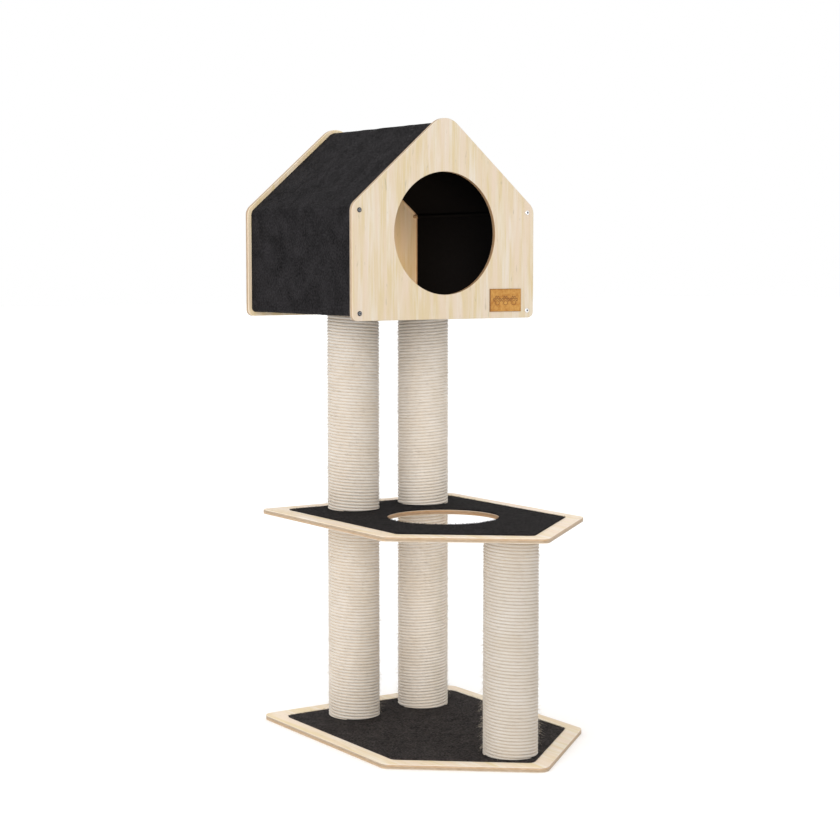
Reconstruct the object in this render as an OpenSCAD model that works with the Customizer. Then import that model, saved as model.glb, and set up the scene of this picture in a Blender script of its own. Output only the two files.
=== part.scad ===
// Cat tree: a five-sided base and a matching shelf on rope-wound posts, with a gabled house on top.
// Origin: on the floor, on the centre plane, midway between the two rear posts. +Z up, house opening to -Y.

/* [Boards] */
// Width of the base and of the shelf
board_w = 450; // [380:1:560]
// From the rear posts' line back to the rear edge
board_back = 109; // [80:1:150]
// From the rear posts' line forward to where the sloping edges begin
board_side = 328; // [250:1:420]
// From the rear posts' line forward to the unrounded front point
board_point = 510; // [455:1:620]
// Thickness of every plywood board and panel
board_t = 9; // [8:0.5:18]
// Corner radius of the base
base_corner_r = 20; // [5:1:30]
// Corner radius of the shelf
shelf_corner_r = 14; // [5:1:30]

/* [Carpets] */
// Thickness of the carpets
carpet_t = 2.5; // [1.5:0.5:5]
// Corner radius of the base carpet
base_carpet_corner_r = 15; // [1:0.5:20]
// Corner radius of the shelf carpet
shelf_carpet_corner_r = 11; // [1:0.5:20]
// Bare margin of the base behind, beside and in front of its carpet
base_margin = [41, 29, 30]; // [15:1:60]
// Bare margin of the shelf behind, beside and in front of its carpet
shelf_margin = [43, 36, 31]; // [15:1:60]

/* [Shelf hole] */
// Diameter of the round hole in the shelf
shelf_hole_d = 212; // [120:1:260]
// From the rear posts' line forward to the hole's centre
shelf_hole_y = 188; // [160:1:230]

/* [Posts] */
// Diameter over the rope
post_d = 100; // [80:1:120]
// Diameter of the rope
rope_d = 6; // [4:0.5:8]
// Wall of the tube inside the rope
tube_wall = 4; // [2:0.5:6]
// Half the distance between the rear posts
post_x = 80.7; // [70:0.1:110]
// From the rear posts' line forward to the front post
front_post_y = 401.5; // [330:0.5:430]
// Length of the posts between base and shelf
lower_post_h = 394; // [250:1:600]
// Length of the posts between shelf and house
upper_post_h = 377; // [200:1:600]
// Thickness of the plugs in the tube ends
plug_t = 18; // [16:1:30]

/* [House] */
// Width of the gable panels
house_w = 408; // [340:1:480]
// Depth of the house over both panels
house_depth = 396; // [320:1:480]
// Height of a panel's straight sides, up to the unrounded shoulder
wall_h = 208; // [180:1:280]
// Height of the unrounded ridge point above the panel's lower edge
ridge_h = 383; // [340:1:480]
// How far the house sits behind the rear posts' line
house_set_back = 2.5; // [0:0.5:20]
// How far the panels stand out round the covered body
panel_lip = 7.9; // [4:0.1:12]
// Corner radii of the panels: lower corners, shoulders and ridge
panel_r = [12, 23, 40]; // [2:1:45]
// Corner radii of the covered body: lower edges, shoulders and ridge
body_r = [8, 16, 26]; // [5:1:40]
// Diameter of the entry hole
entry_d = 226.6; // [150:0.1:240]
// Height of the entry hole's centre above the panel's lower edge
entry_z = 159; // [140:1:190]
// Thickness of the plush cover
cover_t = 1.4; // [1:0.1:3]
// Thickness of the bent shell that carries the cover
shell_t = 1.9; // [1.5:0.1:3]
// Thickness of the lining
lining_t = 0.5; // [0.3:0.1:1]
// How far the lining stops short of each panel
lining_gap = 5.5; // [0:0.5:15]
// Depth of the groove that each end of the shell sits in
groove_depth = 2; // [1:0.5:4]
// Thickness of the mat on the floor
mat_t = 4; // [2:0.5:8]

/* [House screws] */
// From a panel's side edge to its screws
screw_inset = 15.6; // [14:0.1:18]
// How far the upper screws sit below the unrounded shoulders
upper_screw_drop = 8.6; // [8:0.1:20]
// Diameter of the screw shank
screw_d = 4; // [3:0.5:4.5]
// Diameter and height of the screw head
screw_head = [9, 2.2]; // [2:0.1:11]
// Length of the screw under its head
screw_len = 22; // [14:1:30]
// Diameter of the tie rods
rod_d = 6.6; // [5.5:0.1:7]
// Length and diameter of the inserts in the ends of the floor
floor_insert = [15, 6]; // [5:0.5:20]

/* [Bolts] */
// Diameter of the bolts and studs that hold the posts
bolt_d = 8; // [6:1:10]
// Diameter and height of a bolt's flat head
bolt_head = [18, 2.5]; // [2:0.5:20]
// Depth of the recess for a bolt head
recess = 3; // [2.5:0.5:5]
// How far a bolt or stud reaches into a post
bolt_bite = 14; // [10:1:25]
// Diameter and length of the threaded insert in a plug
insert = [11, 16]; // [9:1:20]
// Width across the flats of the bolt's hexagon socket
hex_key = 5; // [4:1:6]

/* [Label] */
// Width, height and thickness of the patch on the front panel
patch = [73, 43, 1.5]; // [1:0.5:90]
// Bare margin between the patch and the panel's right edge, and between it and the lower edge
patch_margin = [30.5, 12.5]; // [5:0.5:60]

/* [Hidden] */
$fn = 96;
arc_steps = 10; // straight pieces in a rounded corner
bore_gap = 0.6; // clearance on the diameter of a hole that a bolt or screw passes
thread_gap = 0.1; // clearance on the diameter between a bolt and its thread
seat_gap = 0.15; // clearance round the shell in its groove, and of the mat at the walls
recess_gap = 1; // clearance on the diameter round a bolt head
tube_d = post_d - 2 * rope_d;
plug_d = tube_d - 2 * tube_wall;

base_top = board_t + carpet_t; // what the lower posts stand on
shelf_z = base_top + lower_post_h; // underside of the shelf
shelf_top = shelf_z + board_t + carpet_t; // what the upper posts stand on
body_z = shelf_top + upper_post_h; // underside of the covered body
panel_z = body_z - panel_lip; // lower edge of the gable panels
roof_angle = atan((ridge_h - wall_h) / (house_w / 2));
front_angle = atan((board_point - board_side) / (board_w / 2));

body_depth = house_depth - 2 * board_t; // between the panels
front_y = house_set_back - house_depth / 2; // outer face of the front panel
inner_front_y = front_y + board_t;
inner_back_y = inner_front_y + body_depth;
shell_in = panel_lip + cover_t; // from the panel's outline in to the shell
lining_in = shell_in + shell_t;
cavity_in = lining_in + lining_t;
floor_z = shell_in; // heights below are above the panel's lower edge
floor_top = floor_z + board_t;
lower_screw_z = floor_z + board_t / 2;
upper_screw_z = wall_h - upper_screw_drop;
screw_x = house_w / 2 - screw_inset;
screw_spots = [for (x = [-screw_x, screw_x], z = [lower_screw_z, upper_screw_z]) [x, z]];

rear_spots = [[-post_x, 0], [post_x, 0]];
front_spot = [0, -front_post_y];
lower_spots = concat(rear_spots, [front_spot]);

// Each post: name, place, lower end, length
POSTS = [
    ["front_post", front_spot, base_top, lower_post_h],
    ["left_lower_post", rear_spots[0], base_top, lower_post_h],
    ["right_lower_post", rear_spots[1], base_top, lower_post_h],
    ["left_upper_post", rear_spots[0], shelf_top, upper_post_h],
    ["right_upper_post", rear_spots[1], shelf_top, upper_post_h]
];

// ---- outlines ----

function unit(v) = v / norm(v);

// The arc that rounds corner q between its neighbours p and s
function corner_arc(p, q, s, r) =
    let (u = unit(p - q), v = unit(s - q), half = acos(u * v) / 2,
         c = q + unit(u + v) * r / sin(half), a = q + u * r / tan(half) - c, b = q + v * r / tan(half) - c,
         from = atan2(a.y, a.x), turn = (atan2(b.y, b.x) - from + 540) % 360 - 180)
    [for (i = [0:arc_steps]) c + r * [cos(from + turn * i / arc_steps), sin(from + turn * i / arc_steps)]];

function rounded(points, radii) =
    let (n = len(points))
    [for (i = [0:n - 1]) each corner_arc(points[(i + n - 1) % n], points[i], points[(i + 1) % n], radii[i])];

// The board's five corners moved in by a margin behind, beside and in front
function deck(margin = [0, 0, 0]) =
    let (x = board_w / 2 - margin[1], point = board_point - margin[2] / cos(front_angle),
         y = -point + x * tan(front_angle), back = board_back - margin[0])
    [[-x, back], [-x, y], [0, -point], [x, y], [x, back]];

// The gable's five corners moved in all round, from the panel's lower edge up
function gable(in = 0) =
    let (x = house_w / 2 - in, ridge = ridge_h - in / cos(roof_angle))
    [[-x, in], [x, in], [x, ridge - x * tan(roof_angle)], [0, ridge], [-x, ridge - x * tan(roof_angle)]];

function five(r) = [r[0], r[0], r[1], r[2], r[1]];

// The body's outline, in from the cover's outer face; the bends stay round the same centres
function body_outline(in) = rounded(gable(in), five([for (r = body_r) max(r - (in - panel_lip), 0.5)]));

module deck_plate(margin, r, t) linear_extrude(t) polygon(rounded(deck(margin), [r, r, r, r, r]));

// Stands an outline up and runs it from y to the rear
module along_house(y, length) translate([0, y + length, panel_z]) rotate([90, 0, 0]) linear_extrude(length) children();

// The walls and roof only: everything above the floor between two outlines
module arch(outer, inner) {
    difference() {
        polygon(body_outline(outer));
        polygon(body_outline(inner));
        translate([-house_w, floor_top - house_w]) square([2 * house_w, house_w]);
    }
}

// ---- fasteners ----

// A bolt with its flat head at z = 0 and below, shank upwards
module flat_bolt(length) {
    difference() {
        union() {
            translate([0, 0, -bolt_head[1]]) cylinder(d = bolt_head[0], h = bolt_head[1]);
            cylinder(d = bolt_d, h = length);
        }
        translate([0, 0, -bolt_head[1]]) cylinder(d = hex_key / cos(30), h = bolt_head[1], $fn = 6);
    }
}

// A panel screw with its domed head at y = 0 and to the front, shank to the rear
module panel_screw() {
    rotate([-90, 0, 0]) difference() {
        union() {
            cylinder(d = screw_d, h = screw_len);
            translate([0, 0, -screw_head[1] / 2]) cylinder(d = screw_head[0], h = screw_head[1] / 2);
            translate([0, 0, -screw_head[1]])
                cylinder(d1 = screw_head[0] * 0.7, d2 = screw_head[0], h = screw_head[1] / 2);
        }
        translate([0, 0, -screw_head[1]]) cylinder(d = screw_d * 0.7 / cos(30), h = screw_head[1] * 0.7, $fn = 6);
    }
}

// A hole from z = 0 up to t with a wide recess in its lower end
module bolt_hole(t) {
    cylinder(d = bolt_d + bore_gap, h = t);
    cylinder(d = bolt_head[0] + recess_gap, h = recess);
}

// ---- base and shelf ----

module base_board() color("burlywood") {
    difference() {
        deck_plate([0, 0, 0], base_corner_r, board_t);
        for (s = lower_spots) translate(s) bolt_hole(board_t);
    }
}

module base_carpet() color([0.15, 0.15, 0.15]) {
    translate([0, 0, board_t]) difference() {
        deck_plate(base_margin, base_carpet_corner_r, carpet_t);
        for (s = lower_spots) translate(s) cylinder(d = bolt_d + bore_gap, h = carpet_t);
    }
}

module base_bolts() color("dimgray") {
    for (s = lower_spots) translate([s.x, s.y, recess]) flat_bolt(base_top - recess + bolt_bite);
}

module shelf_hole(t) translate([0, -shelf_hole_y]) cylinder(d = shelf_hole_d, h = t);

module shelf_board() color("burlywood") {
    translate([0, 0, shelf_z]) difference() {
        deck_plate([0, 0, 0], shelf_corner_r, board_t);
        shelf_hole(board_t);
        for (s = rear_spots) translate(s) cylinder(d = bolt_d + bore_gap, h = board_t);
        translate([front_spot.x, front_spot.y, board_t]) mirror([0, 0, 1]) bolt_hole(board_t);
    }
}

module shelf_carpet() color([0.15, 0.15, 0.15]) {
    translate([0, 0, shelf_z + board_t]) difference() {
        deck_plate(shelf_margin, shelf_carpet_corner_r, carpet_t);
        shelf_hole(carpet_t);
        for (s = rear_spots) translate(s) cylinder(d = bolt_d + bore_gap, h = carpet_t);
    }
}

module shelf_bolt() color("dimgray") {
    translate([front_spot.x, front_spot.y, shelf_z + board_t - recess]) mirror([0, 0, 1])
        flat_bolt(board_t - recess + bolt_bite);
}

module shelf_studs() color("dimgray") {
    for (s = rear_spots) translate([s.x, s.y, shelf_z - bolt_bite])
        cylinder(d = bolt_d, h = board_t + carpet_t + 2 * bolt_bite);
}

// ---- posts ----

module sleeve(outer, inner, h) difference() {
    cylinder(d = outer, h = h);
    cylinder(d = inner, h = h);
}

module post_tube(p) color("tan") translate([p[1].x, p[1].y, p[2]]) sleeve(tube_d, plug_d, p[3]);

module post_rope(p) color([0.88, 0.84, 0.78]) translate([p[1].x, p[1].y, p[2]]) sleeve(post_d, tube_d, p[3]);

// A plug that is flush with its end of the tube, drilled for an insert
module post_plug(p, top) color("peru") {
    translate([p[1].x, p[1].y, top ? p[2] + p[3] - plug_t : p[2]]) sleeve(plug_d, insert[0], plug_t);
}

module post_inserts() color("silver") {
    for (p = POSTS, z = [p[2], p[2] + p[3] - insert[1]])
        translate([p[1].x, p[1].y, z]) sleeve(insert[0], bolt_d + thread_gap, insert[1]);
}

// ---- house ----

// A gable panel with its screw holes and the groove for the shell; inner_y is the face towards the house
module gable_panel(y, inner_y) {
    difference() {
        along_house(y, board_t) polygon(rounded(gable(), five(panel_r)));
        for (s = screw_spots) translate([s.x, y, panel_z + s.y]) rotate([-90, 0, 0])
            cylinder(d = screw_d + bore_gap, h = board_t);
        along_house(inner_y, groove_depth) arch(shell_in - seat_gap, lining_in + seat_gap);
    }
}

module house_front_panel() color("wheat") {
    difference() {
        gable_panel(front_y, inner_front_y - groove_depth);
        translate([0, front_y, panel_z + entry_z]) rotate([-90, 0, 0]) cylinder(d = entry_d, h = board_t);
    }
}

module house_back_panel() color("wheat") gable_panel(inner_back_y, inner_back_y);

module house_floor() color("burlywood") {
    difference() {
        along_house(inner_front_y, body_depth) intersection() {
            polygon(body_outline(shell_in));
            translate([-house_w, floor_z]) square([2 * house_w, board_t]);
        }
        for (s = rear_spots) translate([s.x, s.y, panel_z + floor_top]) mirror([0, 0, 1]) bolt_hole(board_t);
        for (x = [-screw_x, screw_x], y = [inner_front_y, inner_back_y - floor_insert[0]])
            translate([x, y, panel_z + lower_screw_z]) rotate([-90, 0, 0])
                cylinder(d = floor_insert[1], h = floor_insert[0]);
    }
}

module floor_inserts() color("silver") {
    for (x = [-screw_x, screw_x], y = [inner_front_y, inner_back_y - floor_insert[0]])
        translate([x, y, panel_z + lower_screw_z]) rotate([-90, 0, 0])
            sleeve(floor_insert[1], screw_d + thread_gap, floor_insert[0]);
}

module house_bolts() color("dimgray") {
    for (s = rear_spots) translate([s.x, s.y, panel_z + floor_top - recess]) mirror([0, 0, 1])
        flat_bolt(board_t - recess + cover_t + bolt_bite);
}

module house_mat() color([0.12, 0.12, 0.12]) {
    x = house_w / 2 - cavity_in - seat_gap;
    translate([-x, inner_front_y + seat_gap, panel_z + floor_top])
        cube([2 * x, body_depth - 2 * seat_gap, mat_t]);
}

module house_shell() color("tan") {
    along_house(inner_front_y - groove_depth, body_depth + 2 * groove_depth) arch(shell_in, lining_in);
}

module house_cover() color([0.17, 0.16, 0.16]) {
    difference() {
        along_house(inner_front_y, body_depth) difference() {
            polygon(body_outline(panel_lip));
            polygon(body_outline(shell_in));
        }
        for (s = rear_spots) translate([s.x, s.y, panel_z]) cylinder(d = bolt_d + bore_gap, h = floor_top);
    }
}

module house_lining() color([0.06, 0.06, 0.06]) {
    along_house(inner_front_y + lining_gap, body_depth - 2 * lining_gap) arch(lining_in, cavity_in);
}

module tie_rod(x) color("dimgray") {
    translate([x, inner_front_y, panel_z + upper_screw_z]) rotate([-90, 0, 0])
        sleeve(rod_d, screw_d + thread_gap, body_depth);
}

module front_panel_screws() color("silver") {
    for (s = screw_spots) translate([s.x, front_y, panel_z + s.y]) panel_screw();
}

module back_panel_screws() color("silver") {
    for (s = screw_spots) translate([s.x, inner_back_y + board_t, panel_z + s.y]) mirror([0, 1, 0]) panel_screw();
}

module label_patch() color("peru") {
    translate([house_w / 2 - patch_margin.x - patch.x, front_y - patch.z, panel_z + patch_margin.y])
        cube([patch.x, patch.z, patch.y]);
}

base_board();
base_carpet();
base_bolts();
shelf_board();
shelf_carpet();
shelf_bolt();
shelf_studs();
for (p = POSTS) {
    post_tube(p);
    post_rope(p);
    post_plug(p, false);
    post_plug(p, true);
}
post_inserts();
house_bolts();
house_floor();
floor_inserts();
house_mat();
house_shell();
house_cover();
house_lining();
house_front_panel();
house_back_panel();
tie_rod(-screw_x);  // left_tie_rod
tie_rod(screw_x);  // right_tie_rod
front_panel_screws();
back_panel_screws();
label_patch();
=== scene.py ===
# Looks of the cat tree: pale plywood boards, black carpet and plush, and posts wound with cream rope.
# Lengths are in metres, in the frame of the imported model, which the pieces take their places from.
import bmesh
import bpy
import numpy as np
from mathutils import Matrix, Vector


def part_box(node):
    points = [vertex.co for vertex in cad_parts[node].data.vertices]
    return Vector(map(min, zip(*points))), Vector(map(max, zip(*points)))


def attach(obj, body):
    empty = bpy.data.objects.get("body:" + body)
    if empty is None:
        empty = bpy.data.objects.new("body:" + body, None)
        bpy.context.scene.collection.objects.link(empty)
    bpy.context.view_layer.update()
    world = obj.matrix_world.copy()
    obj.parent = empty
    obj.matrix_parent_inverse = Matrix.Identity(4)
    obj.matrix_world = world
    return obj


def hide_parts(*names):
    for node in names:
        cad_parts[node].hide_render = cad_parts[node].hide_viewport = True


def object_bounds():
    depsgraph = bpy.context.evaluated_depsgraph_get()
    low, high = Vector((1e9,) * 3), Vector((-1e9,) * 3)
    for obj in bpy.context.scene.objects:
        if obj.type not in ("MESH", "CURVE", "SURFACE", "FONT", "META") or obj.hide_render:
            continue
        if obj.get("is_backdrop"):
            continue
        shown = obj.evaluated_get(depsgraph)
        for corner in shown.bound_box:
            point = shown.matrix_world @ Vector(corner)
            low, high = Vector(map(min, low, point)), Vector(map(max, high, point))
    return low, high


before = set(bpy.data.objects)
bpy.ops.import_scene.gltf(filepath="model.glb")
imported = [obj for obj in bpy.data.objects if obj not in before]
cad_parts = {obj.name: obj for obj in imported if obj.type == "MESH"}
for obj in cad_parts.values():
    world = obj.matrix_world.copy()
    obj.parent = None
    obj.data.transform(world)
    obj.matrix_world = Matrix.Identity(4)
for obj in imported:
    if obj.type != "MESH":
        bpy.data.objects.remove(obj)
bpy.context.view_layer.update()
scene = bpy.context.scene
print("stage: frame loaded,", len(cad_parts), "nodes")

cameraSet = {
    "place": (-1.9544, -3.0163, 0.8968),
    "turn": 33.92,     # degrees to the right of straight ahead
    "dip": 4.967,      # degrees below level
    "lens": 79.135,
    "sensor": 36.0,
    "clip": (0.05, 60.0),
}
lightSet = {
    "sky": 0.98,       # strength of the even white surround
    # each soft sun: degrees left of straight ahead, degrees up, share of a full light, width in degrees,
    # colour
    "suns": {
        "leftFill": (60.0, 10.0, 0.45, 50.0, (1.0, 0.995, 0.99)),
        "frontFill": (34.0, 3.0, 0.22, 40.0, (1.0, 1.0, 1.0)),
        "topFill": (40.0, 78.0, 0.06, 70.0, (1.0, 1.0, 1.0)),
    },
    # a small lamp low in the house, which the entry hole shows only by its glow
    "loft": {"place": (0.02, 0.02, 0.85), "aim": (0.15, 0.19, 0.86), "power": 0.46, "size": 0.08,
             "colour": (1.0, 0.82, 0.65)},
    "floor": (0.95, 0.95, 0.95),
    "floorGlow": 0.10,     # keeps the floor white close to the base
}


def makeCamera(p):
    data = bpy.data.cameras.new("camera")
    data.sensor_width = p["sensor"]
    data.lens = p["lens"]
    data.clip_start, data.clip_end = p["clip"]
    cam = bpy.data.objects.new("camera", data)
    cam.location = p["place"]
    cam.rotation_euler = np.radians((90.0 - p["dip"], 0.0, -p["turn"]))
    scene.collection.objects.link(cam)
    scene.camera = cam


def addLamp(data, place, away):
    lamp = bpy.data.objects.new(data.name, data)
    lamp.location = place
    flat = np.hypot(away[0], away[1])
    lamp.rotation_euler = (np.arctan2(flat, away[2]), 0.0, np.arctan2(away[0], -away[1]))
    lamp.visible_camera = False
    scene.collection.objects.link(lamp)


def makeSun(name, left, up, share, width, colour):
    data = bpy.data.lights.new(name, "SUN")
    data.energy = share * np.pi     # a white wall square to it then shows that share of white
    data.angle = np.radians(width)
    data.color = colour
    left, up = np.radians((left, up))
    away = (-np.sin(left) * np.cos(up), -np.cos(left) * np.cos(up), np.sin(up))
    addLamp(data, np.array(away) * 4, away)


def makeLoftLamp(p):
    data = bpy.data.lights.new("loftLamp", "AREA")
    data.shape = "DISK"
    data.size = p["size"]
    data.energy = p["power"]
    data.color = p["colour"]
    addLamp(data, p["place"], np.array(p["place"]) - p["aim"])


def makeSurround(p):
    world = bpy.data.worlds.new("surround")
    world.use_nodes = True
    nodes, links = world.node_tree.nodes, world.node_tree.links
    nodes.clear()
    seen = nodes.new("ShaderNodeBackground")      # what the camera sees behind the object
    seen.inputs["Color"].default_value = (1, 1, 1, 1)
    lit = nodes.new("ShaderNodeBackground")       # what lights the object
    lit.inputs["Color"].default_value = (1, 1, 1, 1)
    lit.inputs["Strength"].default_value = p["sky"]
    path = nodes.new("ShaderNodeLightPath")
    mix = nodes.new("ShaderNodeMixShader")
    out = nodes.new("ShaderNodeOutputWorld")
    links.new(path.outputs["Is Camera Ray"], mix.inputs["Fac"])
    links.new(lit.outputs["Background"], mix.inputs[1])
    links.new(seen.outputs["Background"], mix.inputs[2])
    links.new(mix.outputs["Shader"], out.inputs["Surface"])
    scene.world = world


makeCamera(cameraSet)
makeSurround(lightSet)
for sunName, values in lightSet["suns"].items():
    makeSun(sunName, *values)
makeLoftLamp(lightSet["loft"])
scene.view_settings.view_transform = "Standard"
print("stage: camera and light")


# A mesh object from an array of points and a list of face arrays, each (n, corners); uv is a pair per point.
def newPiece(name, points, faces, uv=None, smooth=True):
    mesh = bpy.data.meshes.new(name)
    points = np.ascontiguousarray(points, dtype=np.float32).reshape(-1, 3)
    faces = [np.asarray(f, dtype=np.int32) for f in faces if len(f)]
    corners = np.concatenate([f.ravel() for f in faces])
    sizes = np.concatenate([np.full(len(f), f.shape[1], np.int32) for f in faces])
    starts = np.concatenate(([0], np.cumsum(sizes)[:-1])).astype(np.int32)
    mesh.vertices.add(len(points))
    mesh.vertices.foreach_set("co", points.ravel())
    mesh.loops.add(len(corners))
    mesh.loops.foreach_set("vertex_index", corners)
    mesh.polygons.add(len(sizes))
    mesh.polygons.foreach_set("loop_start", starts)
    mesh.polygons.foreach_set("use_smooth", np.full(len(sizes), smooth))
    if uv is not None:
        layer = mesh.uv_layers.new(name="UVMap")
        layer.data.foreach_set("uv", np.asarray(uv, dtype=np.float32)[corners].ravel())
    mesh.update(calc_edges=True)
    mesh.validate()
    piece = bpy.data.objects.new(name, mesh)
    scene.collection.objects.link(piece)
    return piece


# Quads of a rows x cols grid whose points are stored row by row; either way round may close on itself.
def gridFaces(rows, cols, closeRows=False, closeCols=False, start=0):
    r = np.arange(rows if closeRows else rows - 1)
    c = np.arange(cols if closeCols else cols - 1)
    r, c = (a.ravel() for a in np.meshgrid(r, c, indexing="ij"))
    r2, c2 = (r + 1) % rows, (c + 1) % cols
    return start + np.stack([r * cols + c, r * cols + c2, r2 * cols + c2, r2 * cols + c], axis=1)


# Triangles from a closed ring of indices to one point.
def fanFaces(ring, tip, flip=False):
    nxt = np.roll(ring, -1)
    tips = np.full(len(ring), tip)
    return np.stack([nxt, ring, tips] if flip else [ring, nxt, tips], axis=1)


# A grid closed round its columns, whose first and last rows are fanned to the two points stored after it.
def cappedFaces(rows, cols, start=0):
    ring = np.arange(cols) + start
    end = start + rows * cols
    return [gridFaces(rows, cols, closeCols=True, start=start), fanFaces(ring, end, True),
            fanFaces(ring + (rows - 1) * cols, end + 1)]


# Faces of a slab: a grid over its top, the same grid turned over underneath, and walls between the two.
def slabFaces(rows, cols):
    count = rows * cols
    index = np.arange(count).reshape(rows, cols)
    border = np.concatenate([index[0, :-1], index[:-1, -1], index[-1, :0:-1], index[:0:-1, 0]])
    following = np.roll(border, -1)
    walls = np.stack([border, following, following + count, border + count], axis=1)
    top = gridFaces(rows, cols)
    return [top, walls[:, ::-1], top[:, ::-1] + count]


# The height of a quarter circle over its width, both from 0 at the edge to 1.
def quarterRise(t):
    return np.sqrt(np.clip(1 - (1 - np.clip(t, 0, 1)) ** 2, 0, 1))


# Closed outline with each corner replaced by the arc that touches both its sides. The arc's centre lies on
# the corner's bisector at radius / sin(half the corner's angle). Straight stretches are divided evenly at
# about the given spacing. Returns the points and their outward normals; corners run anticlockwise.
def roundedOutline(corners, radii, arcSteps=10, spacing=0.006):
    corners = np.asarray(corners, float)
    before = np.roll(corners, 1, axis=0) - corners
    after = np.roll(corners, -1, axis=0) - corners
    before /= np.linalg.norm(before, axis=1)[:, None]
    after /= np.linalg.norm(after, axis=1)[:, None]
    half = np.arccos((before * after).sum(axis=1)) / 2
    bisector = before + after
    bisector /= np.linalg.norm(bisector, axis=1)[:, None]
    radii = np.asarray(radii, float)
    centres = corners + bisector * (radii / np.sin(half))[:, None]
    points, normals = [], []
    for i in range(len(corners)):
        span = np.pi - 2 * half[i]
        middleAngle = np.arctan2(-bisector[i, 1], -bisector[i, 0])
        angles = middleAngle + span * (np.linspace(0, 1, arcSteps + 1) - 0.5)
        out = np.stack([np.cos(angles), np.sin(angles)], axis=1)
        points.append(centres[i] + radii[i] * out)
        normals.append(out)
    allPoints, allNormals = [], []
    for i in range(len(corners)):
        j = (i + 1) % len(corners)
        a, b = points[i][-1], points[j][0]
        count = max(int(np.linalg.norm(b - a) / spacing), 1)
        t = np.linspace(0, 1, count + 1)[1:-1, None]
        allPoints += [points[i], a + (b - a) * t]
        allNormals += [normals[i], np.repeat(normals[i][-1:], len(t), axis=0)]
    return np.concatenate(allPoints), np.concatenate(allNormals)


# Flat (across, along) points at one depth: lying boards keep z as depth, upright panels keep y as depth.
def lift(flat, depth, upright):
    depth = np.full(len(flat), depth)
    if upright:
        return np.stack([flat[:, 0], depth, flat[:, 1]], axis=1)
    return np.stack([flat[:, 0], flat[:, 1], depth], axis=1)


# A flat board with rounded arrises, as a closed surface of (place round the outline, place across the
# section). The section runs from the far face out to the edge, round a quarter circle of radius edge,
# across the thickness, round again and back over the near face: to a pole in the middle, or to the wall of
# a round hole, which closes it.
def plate(name, outline, near, far, edge, upright, hole=None):
    points, normals = outline
    quarter = np.linspace(0, np.pi / 2, 5)
    inset = edge * (1 - np.sin(quarter))          # from the flat face out to the side
    sink = edge * (1 - np.cos(quarter))
    sign = np.sign(far - near)
    flatFrom = edge * 2.2                         # where the flat face begins
    steps = [(flatFrom, near)] + [(i, near + sign * s) for i, s in zip(inset, sink)]
    steps += [(i, far - sign * s) for i, s in zip(inset[::-1], sink[::-1])] + [(flatFrom, far)]
    if hole is None:
        middlePoint = points.mean(axis=0)
        halfWay = middlePoint + (points - middlePoint) * 0.5
        rings = [halfWay] + [points - normals * i for i, _ in steps] + [halfWay]
        depths = [near] + [d for _, d in steps] + [far]
        grid = np.concatenate([lift(r, d, upright) for r, d in zip(rings, depths)])
        rows, cols = len(rings), len(points)
        poles = lift(np.array([middlePoint]), near, upright), lift(np.array([middlePoint]), far, upright)
        grid = np.concatenate([grid, *poles])
        faces = cappedFaces(rows, cols)
    else:
        centre, radius = np.array(hole[0]), hole[1]
        out = points - centre
        out /= np.linalg.norm(out, axis=1)[:, None]
        rings, depths = [], []
        for i, d in steps:
            rings.append(points - normals * i)
            depths.append(d)
        for i, d in steps[::-1]:
            rings.append(centre + out * (radius + i))
            depths.append(d)
        grid = np.concatenate([lift(r, d, upright) for r, d in zip(rings, depths)])
        rows, cols = len(rings), len(points)
        faces = [gridFaces(rows, cols, closeRows=True, closeCols=True)]
    return closedPiece(name, grid, faces)


# A closed piece, with every face turned outwards, judged by the sign of the volume that the faces enclose.
def closedPiece(name, points, faces, uv=None, smooth=True):
    piece = newPiece(name, points, faces, uv, smooth)
    mesh = piece.data
    mesh.calc_loop_triangles()
    co = np.empty(len(mesh.vertices) * 3, np.float32)
    mesh.vertices.foreach_get("co", co)
    co = co.reshape(-1, 3).astype(float)
    tri = np.empty(len(mesh.loop_triangles) * 3, np.int32)
    mesh.loop_triangles.foreach_get("vertices", tri)
    a, b, c = (co[tri.reshape(-1, 3)[:, k]] for k in range(3))
    if (a * np.cross(b, c)).sum() < 0:
        mesh.flip_normals()
    return piece


# Gives a piece its material, attaches it to the body it rides on and hides the nodes it stands for.
def finishPiece(piece, material, slot, *nodes):
    piece.data.materials.clear()
    piece.data.materials.append(material)
    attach(piece, "root")
    if nodes:
        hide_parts(*nodes)
    return piece


# An empty node group with float, colour or vector sockets; returns the group and its input and output nodes.
def socketed(name, inputs, outputs):
    kinds = {"f": "NodeSocketFloat", "c": "NodeSocketColor", "v": "NodeSocketVector"}
    group = bpy.data.node_groups.new(name, "ShaderNodeTree")
    for label, kind, value in inputs:
        made = group.interface.new_socket(label, in_out="INPUT", socket_type=kinds[kind])
        if value is not None:
            made.default_value = value
    for label, kind in outputs:
        group.interface.new_socket(label, in_out="OUTPUT", socket_type=kinds[kind])
    return group, group.nodes.new("NodeGroupInput"), group.nodes.new("NodeGroupOutput")


# Links another node's output to a socket, or sets the socket to a plain value.
def feed(tree, socket, value):
    if isinstance(value, bpy.types.NodeSocket):
        tree.links.new(value, socket)
    else:
        socket.default_value = value


# A node with its properties set; any other key is a socket's name, with _ for each space, and feeds it.
def node(tree, kind, **sets):
    made = tree.nodes.new(kind)
    for key, value in sets.items():
        if hasattr(made, key):
            setattr(made, key, value)
        else:
            feed(tree, made.inputs[key.replace("_", " ")], value)
    return made


def maths(tree, operation, a, b=None, clamp=False):
    made = node(tree, "ShaderNodeMath", operation=operation, use_clamp=clamp)
    for socket, value in zip(made.inputs, (a, b)):
        if value is not None:
            feed(tree, socket, value)
    return made.outputs[0]


# How far apart two values are.
def apart(tree, a, b):
    return maths(tree, "ABSOLUTE", maths(tree, "SUBTRACT", a, b))


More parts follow.
